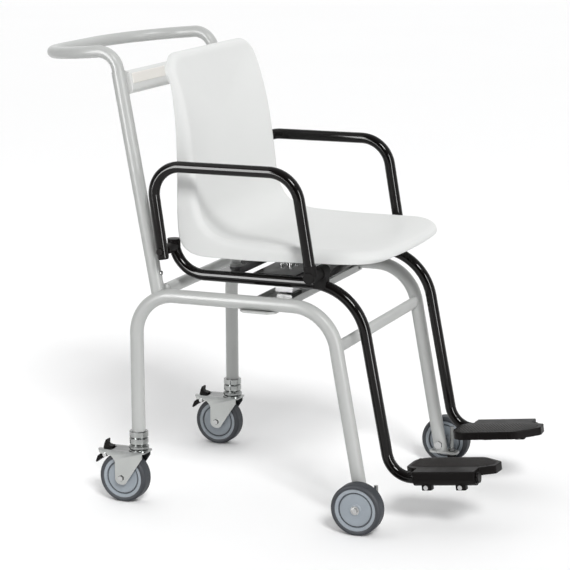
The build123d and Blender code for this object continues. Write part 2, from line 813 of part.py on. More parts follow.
def front_axles():
    """A bolt through each front leg; a washer and a nut hold the wheel on."""
    inner_x = frame_x - frame_radius - 5.0
    outer_x = front_wheel_x + wheel_width / 2 - 1.6
    spacer_x = frame_x + frame_radius + 0.6
    spacer_end_x = front_wheel_x - wheel_width / 2 + 1.7
    with BuildPart() as axles:
        for side in (RIGHT, LEFT):
            plane = Plane(origin=(0, front_axle_y, wheel_radius), z_dir=(side, 0, 0))
            with BuildSketch(plane.offset(inner_x)):
                Circle(axle_radius)
            extrude(amount=outer_x - inner_x + 1)
            with BuildSketch(plane.offset(outer_x)):
                Circle(8.5)
            extrude(amount=1.2)
            with BuildSketch(plane.offset(outer_x)):
                RegularPolygon(6.2, 6)
            extrude(amount=4.0, taper=10)
            with BuildSketch(plane.offset(inner_x - 3.0)):
                RegularPolygon(8.5, 6)
            extrude(amount=5)
            with BuildSketch(plane.offset(spacer_x)):
                Circle(7.5)
                Circle(axle_radius - 0.5, mode=Mode.SUBTRACT)
            extrude(amount=spacer_end_x - spacer_x)
    save(axles.part, "front_axles")


def anti_tip_brackets():
    """A level plate welded under each front leg; it reaches forward past the wheel's axle."""
    with BuildPart() as brackets:
        with BuildSketch(Plane.XY.offset(front_leg_end_z - bracket_thickness)):
            with Locations((-stud_x, stud_y + 16), (stud_x, stud_y + 16)):
                RectangleRounded(24, 60, 6)
            with Locations((-stud_x, stud_y), (stud_x, stud_y)):
                Circle(stud_radius + 0.1, mode=Mode.SUBTRACT)
        extrude(amount=bracket_thickness - touch_gap)
    save(brackets.part, "anti_tip_brackets")


def anti_tip_studs():
    """A threaded stud with a nut above and below each bracket plate."""
    nut_radius = 7.5
    with BuildPart() as studs:
        for side in (RIGHT, LEFT):
            with BuildSketch(Plane.XY.offset(stud_foot_z)):
                with Locations((side * stud_x, stud_y)):
                    Circle(stud_radius)
            extrude(amount=64)
            with BuildSketch(Plane.XY.offset(front_leg_end_z)):
                with Locations((side * stud_x, stud_y)):
                    RegularPolygon(nut_radius, 6)
            extrude(amount=7)
            with BuildSketch(Plane.XY.offset(front_leg_end_z - bracket_thickness - touch_gap)):
                with Locations((side * stud_x, stud_y)):
                    RegularPolygon(nut_radius, 6)
            extrude(amount=-4)
    save(studs.part, "anti_tip_studs")


def anti_tip_feet():
    """Rubber feet just off the floor that catch the chair if it tips forward."""
    with BuildPart() as feet:
        for side in (RIGHT, LEFT):
            with BuildSketch(Plane.XY.offset(stud_foot_z - 12)):
                with Locations((side * stud_x, stud_y)):
                    Circle(9)
            extrude(amount=14.5)
            with BuildSketch(Plane.XY.offset(stud_foot_z - touch_gap)):
                with Locations((side * stud_x, stud_y)):
                    Circle(stud_radius + touch_gap)
            extrude(amount=4, mode=Mode.SUBTRACT)
        fillet(feet.faces().group_by(Axis.Z)[0].edges(), 2.5)
    save(feet.part, "anti_tip_feet")


# ---- casters -----------------------------------------------------------------------------------
def caster_sockets():
    """Two zinc rings below each rear leg, with a plug up the tube and a bore for the stem."""
    bore = stem_radius + fit_gap
    plug = frame_radius - frame_wall - touch_gap
    top_z = leg_foot_z - touch_gap
    with BuildPart() as sockets:
        for side in (RIGHT, LEFT):
            axis_plane = Plane(origin=(side * frame_x, leg_y, 0), x_dir=(1, 0, 0), z_dir=(0, -1, 0))
            with BuildSketch(axis_plane):
                with BuildLine():
                    Polyline((bore, 120.3), (17.5, 120.3), (18.7, 121.5), (18.7, 131), (17.5, 132.2),
                             (16.8, 133), (17.5, 133.8), (18.7, 135), (18.7, 145), (17.7, top_z),
                             (plug, top_z), (plug, 172), (bore, 172), close=True)
                make_face()
            revolve(axis=Axis((side * frame_x, leg_y, 0), (0, 0, 1)))
    save(sockets.part, "caster_sockets")


def caster_fork(side, label):
    """Stem, domed swivel head and a pressed fork whose cheeks taper down to the axle."""
    x = side * frame_x
    axle_y = leg_y + caster_trail
    with BuildPart() as fork:
        with BuildSketch(Plane(origin=(x, leg_y, 0), x_dir=(1, 0, 0), z_dir=(0, -1, 0))):
            with BuildLine():
                Polyline((0, fork_plate_z), (20.5, fork_plate_z), (20.5, 107.5), (18.5, 109),
                         (20, 112), (20, 115), (16, head_top_z), (stem_radius, head_top_z),
                         (stem_radius, stem_top_z), (0, stem_top_z), close=True)
            make_face()
        revolve(axis=Axis((x, leg_y, 0), (0, 0, 1)))
        with BuildSketch(Plane.XY.offset(fork_plate_z)):
            with Locations((x, leg_y + 31)):
                RectangleRounded(2 * (fork_gap + cheek), 102, 5)
            with Locations((x, leg_y + 70)):
                Rectangle(20, 34, mode=Mode.SUBTRACT)
        extrude(amount=3)
        for inner in (fork_gap, -fork_gap - cheek):
            with BuildSketch(side_plane(x + inner)):
                with BuildLine():
                    FilletPolyline((leg_y - 15, fork_plate_z + 1), (leg_y + 80, fork_plate_z + 1),
                                   (leg_y + 77, 97), (leg_y + 52, 94), (axle_y + 13, 84), (axle_y + 13, 37),
                                   (axle_y - 8.5, 37), (leg_y - 15, 93), close=True,
                                   radius=[0.5, 2, 3, 7, 7, 12.5, 11, 3])
                make_face()
            extrude(amount=cheek)
        add(rod((x - 30, axle_y, wheel_radius), (x + 30, axle_y, wheel_radius), axle_radius + touch_gap),
            mode=Mode.SUBTRACT)
        add(rod((x - 30, brake_pin_y, brake_pin_z), (x + 30, brake_pin_y, brake_pin_z),
                brake_pin_radius + touch_gap), mode=Mode.SUBTRACT)
    save(fork.part, label)


def caster_pins(side, label):
    """The axle bolt with its nut, and the pin that the brake lever rocks on."""
    x = side * frame_x
    axle_y = leg_y + caster_trail
    outer = fork_gap + cheek + touch_gap
    with BuildPart() as pins:
        add(rod((x - outer - 1, axle_y, wheel_radius), (x + outer + 1, axle_y, wheel_radius),
                axle_radius))
        for end in (-1, 1):
            with BuildSketch(Plane(origin=(x + end * outer, axle_y, wheel_radius), z_dir=(end, 0, 0))):
                RegularPolygon(6.4, 6)
            extrude(amount=3.8, taper=12)
        add(rod((x - outer - 1, brake_pin_y, brake_pin_z), (x + outer + 1, brake_pin_y, brake_pin_z),
                brake_pin_radius))
        for end in (-1, 1):
            add(rod((x + end * outer, brake_pin_y, brake_pin_z),
                    (x + end * (outer + 1.5), brake_pin_y, brake_pin_z), 4.0))
    save(pins.part, label)


def brake_lever(side, label):
    """A rocking pedal: hook above the fork plate, pad behind the tyre, toe tab at the rear."""
    x = side * frame_x
    with BuildPart() as lever:
        with BuildSketch(side_plane(x - 7)):
            with BuildLine():
                FilletPolyline((leg_y + 59, 94), (leg_y + 66.5, 88.8), (leg_y + 83, 80), (leg_y + 91, 73.5),
                               (leg_y + 93.5, 75), (leg_y + 89, 87), (leg_y + 80, 94), (leg_y + 75, 107),
                               (leg_y + 73, 115), (leg_y + 69.5, 122.5), (leg_y + 66.5, 121.5),
                               (leg_y + 67.5, 112), (leg_y + 56, 109.5), (leg_y + 55.5, 107.3),
                               (leg_y + 63, 107), (leg_y + 60, 98), close=True,
                               radius=[1.5, 4, 6, 1, 1, 4, 6, 4, 4, 1, 1, 3, 1, 1, 2, 3])
            make_face()
        extrude(amount=14)
        add(rod((x - 20, brake_pin_y, brake_pin_z), (x + 20, brake_pin_y, brake_pin_z),
                brake_pin_radius + fit_gap), mode=Mode.SUBTRACT)
    save(lever.part, label)


# ---- read-out ------------------------------------------------------------------------------------
def housing_plane():
    """Middle of the housing, facing rearwards: sketch X is the world's -X, Y runs up the lean."""
    lean = atan(upright_lean)
    return Plane(origin=(0, upright_y(housing_z), housing_z), x_dir=(-1, 0, 0),
                 z_dir=(0, cos(lean), -sin(lean)))


def housing_end(x):
    """Cross-section plane of the housing: sketch X rearwards, sketch Y up the lean."""
    lean = atan(upright_lean)
    return Plane(origin=(x, upright_y(housing_z), housing_z), x_dir=(0, cos(lean), -sin(lean)),
                 z_dir=(1, 0, 0))


def hollow_housing():
    """The whole rounded housing, hollow, with its ends hugging the two uprights."""
    cavity_half_width = housing_half_width - 16.0
    with BuildPart() as housing:
        with BuildSketch(housing_end(-housing_half_width)):
            RectangleRounded(2 * housing_half_depth, 2 * housing_half_height, 10)
        extrude(amount=2 * housing_half_width)
        with BuildSketch(housing_end(-cavity_half_width)):
            RectangleRounded(2 * (housing_half_depth - housing_wall),
                             2 * (housing_half_height - housing_wall), 10 - housing_wall)
        extrude(amount=2 * cavity_half_width, mode=Mode.SUBTRACT)
        for side in (RIGHT, LEFT):
            x = side * upright_x
            add(rod((x, upright_y(760), 760), (x, upright_y(880), 880), upright_radius + touch_gap),
                mode=Mode.SUBTRACT)
        with BuildSketch(housing_plane().offset(-cover_half_depth - touch_gap)):
            with Locations((cover_x, -housing_half_height)):
                Rectangle(cover_length + 2 * touch_gap, 10)
        extrude(amount=2 * (cover_half_depth + touch_gap), mode=Mode.SUBTRACT)
    return housing.part


def display_front_shell():
    """The half of the housing that faces the sitter's back."""
    with BuildPart() as shell:
        add(hollow_housing())
        split(bisect_by=housing_plane().offset(-touch_gap / 2), keep=Keep.BOTTOM)
    save(shell.part, "display_front_shell")


def display_rear_shell():
    """The half with the window, the button holes and the posts for the circuit board."""
    with BuildPart() as shell:
        add(hollow_housing())
        split(bisect_by=housing_plane().offset(touch_gap / 2), keep=Keep.TOP)
        with BuildSketch(housing_plane()):
            with Locations((window_x, 0)):
                Rectangle(window_length + 2 * touch_gap, window_height + 2 * touch_gap)
            for x in button_xs:
                with Locations((x, 0)):
                    Circle(button_radius + button_gap)
        extrude(amount=housing_half_depth + 1, mode=Mode.SUBTRACT)
        with BuildSketch(housing_plane().offset(board_depth + touch_gap)):
            with Locations(*board_posts):
                Circle(3)
        extrude(amount=housing_half_depth - housing_wall - board_depth)
    save(shell.part, "display_rear_shell")


def display_window():
    """A clear slab that fills the opening, with a flange behind the wall."""
    inner_face = housing_half_depth - housing_wall - touch_gap
    with BuildPart() as window:
        with BuildSketch(housing_plane().offset(inner_face)):
            with Locations((window_x, 0)):
                Rectangle(window_length, window_height)
        extrude(amount=housing_wall - 0.4)
        with BuildSketch(housing_plane().offset(inner_face)):
            with Locations((window_x, 0)):
                Rectangle(window_length + 8, window_height + 2)
        extrude(amount=-1.2)
    save(window.part, "display_window")


def display_board():
    """The circuit board with the digit panel and one switch under each button."""
    with BuildPart() as board:
        with BuildSketch(housing_plane().offset(board_depth)):
            with Locations(((board_posts[0][0] + board_posts[3][0]) / 2, 0)):
                Rectangle(board_posts[3][0] - board_posts[0][0] + 8, 35)
        extrude(amount=-board_thickness)
        with BuildSketch(housing_plane().offset(board_depth)):
            with Locations((window_x, 0)):
                Rectangle(window_length + 4, window_height + 4)
        extrude(amount=panel_height)
        with BuildSketch(housing_plane().offset(board_depth)):
            for x in button_xs:
                with Locations((x, 0)):
                    Rectangle(6, 6)
        extrude(amount=1.5)
    save(board.part, "display_board")


def push_button(x, label):
    """A round cap with a flange behind the wall and a stem that reaches for its switch."""
    flange_top = housing_half_depth - housing_wall - touch_gap
    with BuildPart() as button:
        with BuildSketch(housing_plane().offset(flange_top - 1.5)):
            with Locations((x, 0)):
                Circle(button_radius + 1.6)
        extrude(amount=1.5)
        with BuildSketch(housing_plane().offset(flange_top)):
            with Locations((x, 0)):
                Circle(button_radius)
        extrude(amount=housing_wall + button_travel)
        outwards = Axis(housing_plane().origin, housing_plane().z_dir)
        fillet(button.faces().sort_by(outwards)[-1].edges(), 0.8)
        with BuildSketch(housing_plane().offset(flange_top - 1.5)):
            with Locations((x, 0)):
                Circle(2.5)
        extrude(amount=-(flange_top - 1.5 - board_depth - 1.5 - button_travel - 0.2))
    save(button.part, label)


def batteries():
    """Four size AA cells in two rows, with their button ends."""
    with BuildPart() as cells:
        for row in (-8.0, 8.0):
            for start in (cover_x - cell_pitch, cover_x + 1.0):
                foot = housing_plane().from_local_coords(Vector(start, row, 0))
                with BuildSketch(Plane(origin=foot, z_dir=(-1, 0, 0))):
                    Circle(7.1)
                extrude(amount=cell_pitch - 1.2)
                with BuildSketch(Plane(origin=foot, z_dir=(-1, 0, 0))):
                    Circle(2.7)
                extrude(amount=cell_pitch)
    save(cells.part, "batteries")


def battery_cover():
    """The cover under the battery bay, flush with the underside of the housing."""
    with BuildPart() as cover:
        with BuildSketch(housing_plane().offset(-cover_half_depth)):
            with Locations((cover_x, -housing_half_height + housing_wall / 2)):
                Rectangle(cover_length, housing_wall)
            for end in (-1, 1):
                catch_x = cover_x + end * (cover_length / 2 - 4)
                with Locations((catch_x, -housing_half_height + housing_wall + 1)):
                    Rectangle(3, 3)
        extrude(amount=2 * cover_half_depth)
    save(cover.part, "battery_cover")


# ---- build all -----------------------------------------------------------------------------------
for side, name in SIDES:
    side_frame(side, f"{name}_side_frame")
    upright(side, f"{name}_upright")
    footrest_tube(side, f"{name}_footrest_tube")
    armrest(side, f"{name}_armrest")
    armrest_caps(side, f"{name}_armrest_caps")
    footplate(side, f"{name}_footplate")
    footplate_bolts(side, f"{name}_footplate_bolts")
    wheel_hub(side * front_wheel_x, front_axle_y, axle_radius + fit_gap, f"{name}_front_hub")
    tyre(side * front_wheel_x, front_axle_y, f"{name}_front_tyre")
    wheel_hub(side * frame_x, leg_y + caster_trail, axle_radius + fit_gap, f"{name}_caster_hub")
    tyre(side * frame_x, leg_y + caster_trail, f"{name}_caster_tyre")
    caster_fork(side, f"{name}_caster_fork")
    caster_pins(side, f"{name}_caster_pins")
    brake_lever(side, f"{name}_brake_lever")
push_handle()
rear_cross_tube()
front_cross_bar()
base_beam()
load_cell()
load_cell_spacers()
load_cell_bolts()
overload_stop()
carrier_beam()
seat_strap(rear_strap_y, "rear_seat_strap")
seat_strap(front_strap_y, "front_seat_strap")
seat_shell()
seat_pads()
seat_screws()
armrest_pivots()
armrest_pins()
armrest_rests()
footrest_plugs()
front_axles()
anti_tip_brackets()
anti_tip_studs()
anti_tip_feet()
caster_sockets()
display_front_shell()
display_rear_shell()
display_window()
display_board()
for button_x, name in zip(button_xs, button_names):
    push_button(button_x, name)
batteries()
battery_cover()
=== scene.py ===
"""Looks for the wheeled chair scale: materials, seat shell, tread ribs and read-out around the CAD frame."""
import bisect
import json
import math

import bmesh
import bpy
from mathutils import Matrix, Vector

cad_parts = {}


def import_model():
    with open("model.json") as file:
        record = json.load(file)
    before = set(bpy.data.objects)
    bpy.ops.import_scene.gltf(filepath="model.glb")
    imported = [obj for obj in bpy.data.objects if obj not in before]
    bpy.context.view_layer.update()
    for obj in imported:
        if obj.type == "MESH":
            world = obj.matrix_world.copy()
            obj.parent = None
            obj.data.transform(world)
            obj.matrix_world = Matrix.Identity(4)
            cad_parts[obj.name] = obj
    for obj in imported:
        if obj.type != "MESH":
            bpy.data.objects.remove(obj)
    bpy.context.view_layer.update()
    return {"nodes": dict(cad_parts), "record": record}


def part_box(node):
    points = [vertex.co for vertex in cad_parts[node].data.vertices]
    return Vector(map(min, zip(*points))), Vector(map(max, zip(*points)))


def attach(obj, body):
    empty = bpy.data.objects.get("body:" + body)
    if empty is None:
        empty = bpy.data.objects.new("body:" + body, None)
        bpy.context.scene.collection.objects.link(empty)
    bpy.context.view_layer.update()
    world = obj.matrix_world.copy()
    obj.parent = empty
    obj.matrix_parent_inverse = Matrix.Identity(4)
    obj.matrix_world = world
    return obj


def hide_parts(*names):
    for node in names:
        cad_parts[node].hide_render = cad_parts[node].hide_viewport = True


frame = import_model()

SIDES = (("right", -1), ("left", 1))
LEG_Y = (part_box("caster_sockets")[0][1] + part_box("caster_sockets")[1][1]) / 2


def clamp(value, low=0.0, high=1.0):
    return min(max(value, low), high)


# ---- node materials ----------------------------------------------------------------------------
def node(tree, kind, **values):
    """A new node, with each value set on its property or, where it has none, on its input socket."""
    made = tree.nodes.new(kind)
    for key, value in values.items():
        if hasattr(made, key):
            setattr(made, key, value)
        else:
            made.inputs[key].default_value = value
    return made


def noise(tree, coords, scale, detail, stretch=None):
    """A noise texture in object space, stretched along an axis where stretch is given."""
    source = coords.outputs["Object"]
    if stretch:
        mapping = node(tree, "ShaderNodeMapping", Scale=stretch)
        tree.links.new(source, mapping.inputs["Vector"])
        source = mapping.outputs["Vector"]
    texture = node(tree, "ShaderNodeTexNoise", Scale=scale, Detail=detail)
    tree.links.new(source, texture.inputs["Vector"])
    return texture.outputs["Fac"]


def ramp(tree, factor, low, high, start=0.3, end=0.7):
    """A colour that goes from low to high while the factor goes from start to end."""
    made = node(tree, "ShaderNodeValToRGB")
    for element, position, colour in zip(made.color_ramp.elements, (start, end), (low, high)):
        element.position = position
        element.color = colour
    tree.links.new(factor, made.inputs["Fac"])
    return made.outputs["Color"]


def tint_by_shape(tree, tint, colour, amounts, span):
    """Mixes a colour in by how hollow (low) or sharp (high) the surface is."""
    geometry = node(tree, "ShaderNodeNewGeometry")
    low, high = ((amount, amount, amount, 1.0) for amount in amounts)
    mix = node(tree, "ShaderNodeMix", data_type="RGBA")
    tree.links.new(ramp(tree, geometry.outputs["Pointiness"], low, high, *span), mix.inputs["Factor"])
    tree.links.new(tint, mix.inputs["A"])
    mix.inputs["B"].default_value = (*colour, 1.0)
    return mix.outputs["Result"]


def surface(name, colour, tone=0.06, tone_scale=9.0, rough=(0.35, 0.45), rough_scale=30.0, metallic=0.0,
            grain=(900.0, 0.05, 0.0002), stretch=None, edge=None, specular=0.5, hollow_shade=None):
    """A worn, grained surface.

    The colour drifts by tone at tone_scale, and the roughness between the two in rough at rough_scale.
    grain is the fine bump's scale, strength and depth in metres, and stretch gives it a direction.
    edge colours worn edges, and the colour for hollows is painted shade that darkens creases and grooves.
    """
    made = bpy.data.materials.new(name)
    made.use_nodes = True
    tree = made.node_tree
    shader = tree.nodes["Principled BSDF"]
    shader.inputs["Metallic"].default_value = metallic
    shader.inputs["Specular IOR Level"].default_value = specular
    coords = node(tree, "ShaderNodeTexCoord")
    dark = (*(c * (1.0 - tone) for c in colour), 1.0)
    light = (*(min(1.0, c * (1.0 + tone)) for c in colour), 1.0)
    tint = ramp(tree, noise(tree, coords, tone_scale, 4.0), dark, light)
    # Painted shade: creases and hollows, found by low pointiness, take the darker colour.
    if hollow_shade:
        tint = tint_by_shape(tree, tint, hollow_shade, (1.0, 0.0), (0.44, 0.50))
    if edge:
        tint = tint_by_shape(tree, tint, edge, (0.0, 0.8), (0.53, 0.60))
    tree.links.new(tint, shader.inputs["Base Color"])
    spread = node(tree, "ShaderNodeMapRange")
    spread.inputs["To Min"].default_value, spread.inputs["To Max"].default_value = rough
    tree.links.new(noise(tree, coords, rough_scale, 5.0, stretch), spread.inputs["Value"])
    tree.links.new(spread.outputs["Result"], shader.inputs["Roughness"])
    scale, strength, depth = grain
    bump = node(tree, "ShaderNodeBump", Strength=strength, Distance=depth)
    tree.links.new(noise(tree, coords, scale, 2.0, stretch), bump.inputs["Height"])
    tree.links.new(bump.outputs["Normal"], shader.inputs["Normal"])
    return made


def glass(name):
    """A clear tinted window with a faint smear in its roughness."""
    made = surface(name, (0.55, 0.60, 0.57), 0.03, 20.0, (0.03, 0.09), 60.0, grain=(300.0, 0.02, 0.0001))
    shader = made.node_tree.nodes["Principled BSDF"]
    shader.inputs["Transmission Weight"].default_value = 0.9
    shader.inputs["IOR"].default_value = 1.46
    return made


# In zinc, bright_steel, soft_rubber and wheel_plastic the colour for hollows is painted shade in creases and
# grooves.
SLOTS = {
    "frame_paint": surface("frame_paint", (0.445, 0.453, 0.444), 0.025, 6.0, (0.26, 0.38), 40.0,
                           grain=(1400.0, 0.08, 0.0002), specular=0.3),
    "black_paint": surface("black_paint", (0.0030, 0.0024, 0.0022), 0.3, 8.0, (0.08, 0.14), 35.0,
                           grain=(700.0, 0.02, 0.0002), specular=0.22),
    "zinc": surface("zinc", (0.24, 0.248, 0.245), 0.16, 45.0, (0.12, 0.26), 90.0, 1.0,
                    grain=(500.0, 0.10, 0.0002), edge=(0.40, 0.41, 0.40), hollow_shade=(0.07, 0.075, 0.075)),
    "bright_steel": surface("bright_steel", (0.20, 0.205, 0.20), 0.10, 60.0, (0.14, 0.28), 120.0, 1.0,
                            grain=(900.0, 0.10, 0.0002), stretch=(1.0, 6.0, 6.0), edge=(0.5, 0.5, 0.5),
                            hollow_shade=(0.08, 0.08, 0.08)),
    "load_cell_alloy": surface("load_cell_alloy", (0.78, 0.78, 0.79), 0.04, 30.0, (0.28, 0.42), 160.0, 1.0,
                               grain=(500.0, 0.16, 0.0002), stretch=(0.4, 8.0, 8.0)),
    "seat_plastic": surface("seat_plastic", (0.69, 0.698, 0.69), 0.012, 5.0, (0.42, 0.52), 60.0,
                            grain=(2200.0, 0.10, 0.0002), specular=0.06),
    "black_plastic": surface("black_plastic", (0.0055, 0.0047, 0.0045), 0.2, 14.0, (0.30, 0.45), 60.0,
                             grain=(1500.0, 0.25, 0.0003), specular=0.06, edge=(0.011, 0.0098, 0.0094)),
    "soft_rubber": surface("soft_rubber", (0.006, 0.0055, 0.0054), 0.2, 20.0, (0.6, 0.75), 50.0,
                           grain=(1200.0, 0.3, 0.0003), specular=0.1, hollow_shade=(0.012, 0.0115, 0.011)),
    "grey_rubber": surface("grey_rubber", (0.45, 0.46, 0.455), 0.06, 20.0, (0.55, 0.7), 50.0,
                           grain=(1200.0, 0.3, 0.0003)),
    "wheel_plastic": surface("wheel_plastic", (0.262, 0.296, 0.330), 0.07, 22.0, (0.36, 0.5), 70.0,
                             grain=(1600.0, 0.15, 0.0002), edge=(0.30, 0.335, 0.37),
                             hollow_shade=(0.03, 0.035, 0.04)),
    "tyre_rubber": surface("tyre_rubber", (0.036, 0.040, 0.047), 0.12, 25.0, (0.5, 0.68), 60.0,
                           grain=(1100.0, 0.25, 0.0003), specular=0.3, edge=(0.075, 0.08, 0.088)),
    "housing_plastic": surface("housing_plastic", (0.64, 0.645, 0.635), 0.015, 7.0, (0.38, 0.48), 60.0,
                               grain=(1800.0, 0.12, 0.0002)),
    "window_glass": glass("window_glass"),
    "board_green": surface("board_green", (0.02, 0.11, 0.05), 0.2, 60.0, (0.3, 0.5), 90.0,
                           grain=(800.0, 0.2, 0.0002)),
    "battery_skin": surface("battery_skin", (0.03, 0.03, 0.035), 0.2, 60.0, (0.2, 0.35), 60.0),
    "button_grey": surface("button_grey", (0.10, 0.115, 0.135), 0.05, 40.0, (0.4, 0.5), 90.0,
                           grain=(1800.0, 0.15, 0.0002)),
}
TREAD_PLASTIC = surface("tread_plastic", (0.015, 0.0135, 0.013), 0.25, 30.0, (0.38, 0.52), 80.0,
                        grain=(1500.0, 0.2, 0.0003), specular=0.12, edge=(0.027, 0.0245, 0.0235))
DIGIT_PANEL_GREY = surface("digit_panel_grey", (0.36, 0.42, 0.34), 0.04, 40.0, (0.3, 0.4), 60.0,
                           grain=(900.0, 0.03, 0.0001))
TRIM_TINT = surface("trim_tint", (0.80, 0.775, 0.735), 0.01, 8.0, (0.35, 0.45), 60.0,
                    grain=(1800.0, 0.1, 0.0002))

for row in frame["record"]["subparts"]:
    for place in frame["nodes"][row["node"]].material_slots:
        place.material = SLOTS[row["material_slot"]]


# ---- mesh helpers --------------------------------------------------------------------------------
def outward(mesh):
    """Merges doubled points and turns the normals outwards."""
    cleaner = bmesh.new()
    cleaner.from_mesh(mesh)
    bmesh.ops.remove_doubles(cleaner, verts=cleaner.verts, dist=1e-6)
    bmesh.ops.recalc_face_normals(cleaner, faces=cleaner.faces)
    cleaner.to_mesh(mesh)
    cleaner.free()


def piece(name, points, faces, slot, body="frame", smooth=True, look=None):
    """A mesh piece from points in metres, riding on a body; look stands in for its slot's material."""
    mesh = bpy.data.meshes.new(name)
    mesh.from_pydata([tuple(p) for p in points], [], faces)
    mesh.validate()
    for polygon in mesh.polygons:
        polygon.use_smooth = smooth
    mesh.materials.append(look or SLOTS[slot])
    outward(mesh)
    made = bpy.data.objects.new(name, mesh)
    bpy.context.scene.collection.objects.link(made)
    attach(made, body)
    return made


def ring_faces(base, rows, width, capped=True):
    """Faces between rows of points that each close on themselves, and over the two ends."""
    faces = []
    for row in range(rows - 1):
        a, b = base + row * width, base + (row + 1) * width
        for k in range(width):
            n = (k + 1) % width
            faces.append((a + k, a + n, b + n, b + k))
    if capped:
        end = base + (rows - 1) * width
        faces.append(tuple(base + k for k in range(width)))
        faces.append(tuple(end + k for k in reversed(range(width))))
    return faces


def lathe(name, profile, places, slot, axis=2, steps=48):
    """Turned pieces: (radius, height) profile about an axis through each place, in metres."""
    points, faces = [], []
    for centre in places:
        faces += ring_faces(len(points), len(profile), steps)
        for radius, height in profile:
            for step in range(steps):
                angle = 2 * math.pi * step / steps
                flat = [radius * math.cos(angle), radius * math.sin(angle)]
                local = flat[:axis] + [height] + flat[axis:]
                points.append([c + l for c, l in zip(centre, local)])
    piece(name, points, faces, slot)


def spline(knots, at):
    """Smooth value along evenly numbered knots (Catmull-Rom), at from 0 to len(knots) - 1."""
    last = len(knots) - 1
    k = min(int(at), last - 1)
    t = at - k
    a, b, c, d = (knots[max(k - 1, 0)], knots[k], knots[k + 1], knots[min(k + 2, last)])
    return [
        0.5 * (2 * b[i] + (c[i] - a[i]) * t + (2 * a[i] - 5 * b[i] + 4 * c[i] - d[i]) * t * t
               + (3 * b[i] - a[i] - 3 * c[i] + d[i]) * t ** 3)
        for i in range(len(b))
    ]


# ---- seat shell ------------------------------------------------------------------------------------
# Millimetres, from the top of the back rest down and forwards to the front lip: the rim and the skirt's
# lower edge as (y from the rear legs, z), and how far the middle is dished below the rim.
RIM = [(-64, 890), (-74, 858), (-86, 822), (-97, 780), (-105, 738), (-111, 694), (-116, 650), (-121, 606),
       (-131, 572), (-153, 548), (-188, 537), (-226, 534), (-268, 532.5), (-310, 531.5), (-354, 531.5),
       (-398, 531.5), (-436, 531), (-468, 528), (-487, 523), (-496, 516)]
SKIRT = [(-48, 884), (-60, 858), (-69, 824), (-75, 782), (-79, 740), (-81, 696), (-82, 652), (-82, 606),
         (-83, 560), (-90, 524), (-120, 503), (-190, 500), (-250, 500), (-300, 501.5), (-348, 503),
         (-394, 504.5), (-432, 505.5), (-462, 505), (-476, 504), (-484, 503)]
DISH = [(9,), (13,), (16,), (18,), (19,), (19,), (19,), (20,), (22,), (22,), (18,), (15,), (13,), (12,),
        (11,), (10,), (7,), (4,), (2,), (1,)]
DISH_POWER = 2.3
SEAT_HALF_WIDTH = 211.0
BACK_TAPER = 12.0
TAPER_FOOT, TAPER_RISE = 560.0, 330.0
TOP_CORNER, FRONT_CORNER = 50.0, 76.0
BOW, BOW_HALF_WIDTH, BOW_REACH = 12.0, 200.0, 150.0
SPINE_INSET = 150.0
RIM_ROUND = 14.0
SHELL_WALL = 0.0045
ARC_STEPS, EDGE_STEPS, CORNER_STEPS, SIDE_STEPS, ROUND_STEPS = 400, 20, 12, 70, 5
FACE_SHARES = (0.0, 0.08, 0.18, 0.28, 0.38, 0.48, 0.58, 0.67, 0.76, 0.84, 0.91, 0.96, 1.0)
SKIRT_SHARES = (0.3, 0.65, 0.93, 1.0)


def arc_table(knots):
    """Arc length against spline position, to walk the rim evenly."""
    table = [(0.0, 0.0)]
    before = spline(knots, 0.0)
    for step in range(1, ARC_STEPS + 1):
        at = (len(knots) - 1) * step / ARC_STEPS
        here = spline(knots, at)
        table.append((table[-1][0] + math.dist(before, here), at))
        before = here
    return table


RIM_TABLE = arc_table(RIM)
RIM_LENGTH = RIM_TABLE[-1][0]


def rim_position(length):
    """Spline position for a length along the rim."""
    length = clamp(length, 0.0, RIM_LENGTH)
    low = min(bisect.bisect_right(RIM_TABLE, length, key=lambda entry: entry[0]), len(RIM_TABLE) - 1) - 1
    (start, at), (end, next_at) = RIM_TABLE[low:low + 2]
    return at + (next_at - at) * (length - start) / (end - start)


def rim_frame(along):
    """The rim's (y, z) and its unit direction, at a length along it."""
    at = rim_position(along)
    before = spline(RIM, max(at - 0.05, 0.0))
    after = spline(RIM, min(at + 0.05, len(RIM) - 1.0))
    size = math.dist(before, after)
    return spline(RIM, at), ((after[0] - before[0]) / size, (after[1] - before[1]) / size)


def seat_half_width(along):
    z = spline(RIM, rim_position(along))[1]
    return SEAT_HALF_WIDTH - BACK_TAPER * clamp((z - TAPER_FOOT) / TAPER_RISE)


def front_bow(x, along):
    """How far the front lip draws back towards its corners."""
    near_front = clamp((along - RIM_LENGTH + BOW_REACH) / BOW_REACH)
    return BOW * (x / BOW_HALF_WIDTH) ** 2 * near_front ** 2


